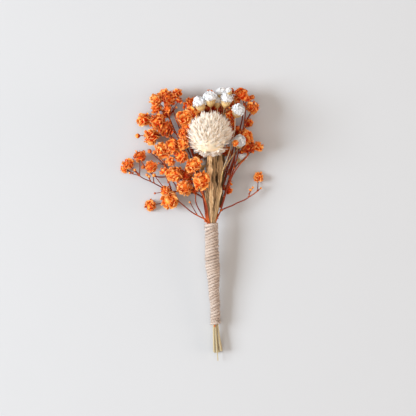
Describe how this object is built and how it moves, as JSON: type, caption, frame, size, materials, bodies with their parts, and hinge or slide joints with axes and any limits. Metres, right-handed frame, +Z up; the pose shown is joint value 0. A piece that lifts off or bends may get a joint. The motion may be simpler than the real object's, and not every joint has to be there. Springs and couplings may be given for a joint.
{
  "type": "dried flower bouquet",
  "caption": "Small dried flower bouquet lying flat: a cream globe head, white everlastings and orange gypsophila sprays on dry stems bound with twine.",
  "frame": {"origin": "middle of the outer box in X and Y, on the surface that the bunch lies on", "axes": "+Y along the bunch from the cut stems to the flowers, +Z up from the surface, +X across the bunch"},
  "size_m": [0.0722, 0.1374, 0.0288],
  "materials": {
    "globe_bracts": "dry papery bracts, matt, cream",
    "white_bracts": "dry papery bracts, silky, cool white",
    "golden_stalk": "dry golden tan stalk and cup, matt",
    "orange_bloom": "orange dyed petals on red-brown stalks, matt",
    "dry_stem": "straw-coloured dry stem, ribbed, matt",
    "twine": "pinkish beige twisted twine, slightly fuzzy"
  },
  "bodies": {
    "root": {"twine_binding": "twine", "globe_head": "globe_bracts", "globe_stem": "dry_stem", "dry_stem_1": "dry_stem", "dry_stem_2": "dry_stem", "dry_stem_3": "dry_stem", "dry_stem_4": "dry_stem", "dry_stem_5": "dry_stem", "dry_stem_6": "dry_stem", "everlasting_stem_1": "golden_stalk", "everlasting_stem_2": "golden_stalk", "everlasting_stem_3": "golden_stalk", "everlasting_head_1": "white_bracts", "everlasting_head_2": "white_bracts", "everlasting_head_3": "white_bracts", "everlasting_head_4": "white_bracts", "everlasting_head_5": "white_bracts", "everlasting_head_6": "white_bracts", "everlasting_head_7": "white_bracts", "everlasting_head_8": "white_bracts", "everlasting_head_9": "white_bracts", "everlasting_head_10": "white_bracts", "gypsophila_left": "orange_bloom", "gypsophila_upper_left": "orange_bloom", "gypsophila_upper_middle": "orange_bloom", "gypsophila_front": "orange_bloom", "gypsophila_right": "orange_bloom", "gypsophila_back": "orange_bloom"}
  },
  "joints": []
}
